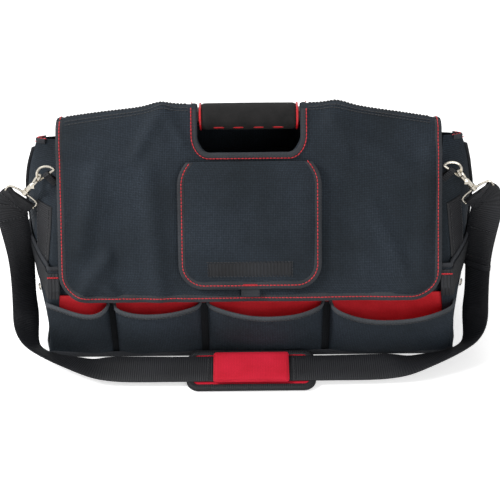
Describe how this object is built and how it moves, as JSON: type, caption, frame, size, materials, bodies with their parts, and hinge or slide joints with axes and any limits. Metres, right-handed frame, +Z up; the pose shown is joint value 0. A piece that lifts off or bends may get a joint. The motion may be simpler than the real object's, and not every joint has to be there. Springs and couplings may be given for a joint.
{
  "type": "tool bag",
  "caption": "Soft long tool bag with a bent tube handle and foam grip, a fold-over cover with a small pocket, open front pockets, and a padded shoulder strap on snap hooks.",
  "frame": {"origin": "centre of the underside of the base, on the surface that the bag stands on", "axes": "+X along the bag from its left end to its right end as seen from the front, -Y towards the front pockets and the strap, +Z up"},
  "size_m": [0.6338, 0.3022, 0.2978],
  "materials": {
    "bag_cloth": "coated polyester weave",
    "webbing": "ribbed webbing",
    "binding": "folded edge tape",
    "lining_cloth": "plain weave",
    "pad_cloth": "padded mesh cloth",
    "grip_foam": "closed cell foam",
    "collar_plastic": "moulded",
    "board_plastic": "sheet",
    "handle_steel": "powder coat",
    "nickel_plate": "nickel plated"
  },
  "bodies": {
    "bag": {"base_panel": "bag_cloth", "base_board": "board_plastic", "front_panel": "bag_cloth", "back_panel": "bag_cloth", "end_panel_left": "bag_cloth", "end_panel_right": "bag_cloth", "front_lining": "lining_cloth", "front_pocket_1": "bag_cloth", "front_pocket_2": "bag_cloth", "front_pocket_3": "bag_cloth", "front_pocket_4": "bag_cloth", "end_pocket_left": "bag_cloth", "end_pocket_right": "bag_cloth", "end_webbing_left": "webbing", "end_webbing_right": "webbing", "end_binding_left": "binding", "end_binding_right": "binding", "rivet_left": "nickel_plate", "rivet_right": "nickel_plate", "handle_tube": "handle_steel", "grip_core": "collar_plastic", "handle_grip": "grip_foam", "tube_foot_left": "handle_steel", "tube_foot_right": "handle_steel", "flap_seam_tape": "binding", "ring_loop_left": "webbing", "ring_loop_right": "webbing"},
    "rear_cover": {"rear_flap": "bag_cloth"},
    "front_cover": {"front_flap": "bag_cloth", "flap_binding": "binding", "accessory_pocket": "bag_cloth", "loop_tape": "webbing"},
    "pocket_cover": {"pocket_flap": "bag_cloth", "hook_tape": "webbing", "pull_tab": "webbing"},
    "strap": {"shoulder_strap": "webbing", "strap_eye_left": "nickel_plate", "strap_eye_right": "nickel_plate"},
    "pad": {"pad_base": "binding", "pad_cover": "pad_cloth"},
    "hook_left": {"snap_hook_left": "nickel_plate"},
    "hook_right": {"snap_hook_right": "nickel_plate"},
    "latch_left": {"hook_latch_left": "nickel_plate"},
    "latch_right": {"hook_latch_right": "nickel_plate"},
    "ring_left": {"d_ring_left": "nickel_plate"},
    "ring_right": {"d_ring_right": "nickel_plate"}
  },
  "joints": [
    {"name": "rear_cover_fold", "type": "hinge", "parent": "bag", "child": "rear_cover", "pos_m": [0, 0.09725, 0.1475], "axis": [-1, 0, 0], "range_deg": [0, 140]},
    {"name": "front_cover_fold", "type": "hinge", "parent": "bag", "child": "front_cover", "pos_m": [0, 0, 0.2966], "axis": [-1, 0, 0], "range_deg": [0, 160]},
    {"name": "pocket_cover_fold", "type": "hinge", "parent": "front_cover", "child": "pocket_cover", "pos_m": [0, -0.04566, 0.24471], "axis": [-1, 0, 0], "range_deg": [0, 140]},
    {"name": "strap_swing", "type": "hinge", "parent": "bag", "child": "strap", "pos_m": [0, -0.036, 0.21812], "axis": [-1, 0, 0], "range_deg": [0, 45]},
    {"name": "pad_slide", "type": "slide", "parent": "strap", "child": "pad", "axis": [1, 0, 0], "range_m": [-0.015, 0.015]},
    {"name": "hook_swivel_left", "type": "hinge", "parent": "strap", "child": "hook_left", "pos_m": [-0.26021, -0.036, 0.21566], "axis": [0.6691, 0, 0.7431], "range_deg": [-10, 10]},
    {"name": "hook_swivel_right", "type": "hinge", "parent": "strap", "child": "hook_right", "pos_m": [0.26021, -0.036, 0.21566], "axis": [0.6691, 0, -0.7431], "range_deg": [-10, 10]},
    {"name": "latch_slide_left", "type": "slide", "parent": "hook_left", "child": "latch_left", "axis": [-0.6691, 0, -0.7431], "range_m": [0, 0.0035], "stiffness_N_per_m": 300, "springref_m": -0.002},
    {"name": "latch_slide_right", "type": "slide", "parent": "hook_right", "child": "latch_right", "axis": [0.6691, 0, -0.7431], "range_m": [0, 0.0035], "stiffness_N_per_m": 300, "springref_m": -0.002},
    {"name": "ring_turn_left", "type": "hinge", "parent": "bag", "child": "ring_left", "pos_m": [-0.2465, -0.036, 0.223], "axis": [0.788, 0, 0.6157], "range_deg": [-12, 12]},
    {"name": "ring_turn_right", "type": "hinge", "parent": "bag", "child": "ring_right", "pos_m": [0.2465, -0.036, 0.223], "axis": [0.788, 0, -0.6157], "range_deg": [-12, 12]}
  ]
}
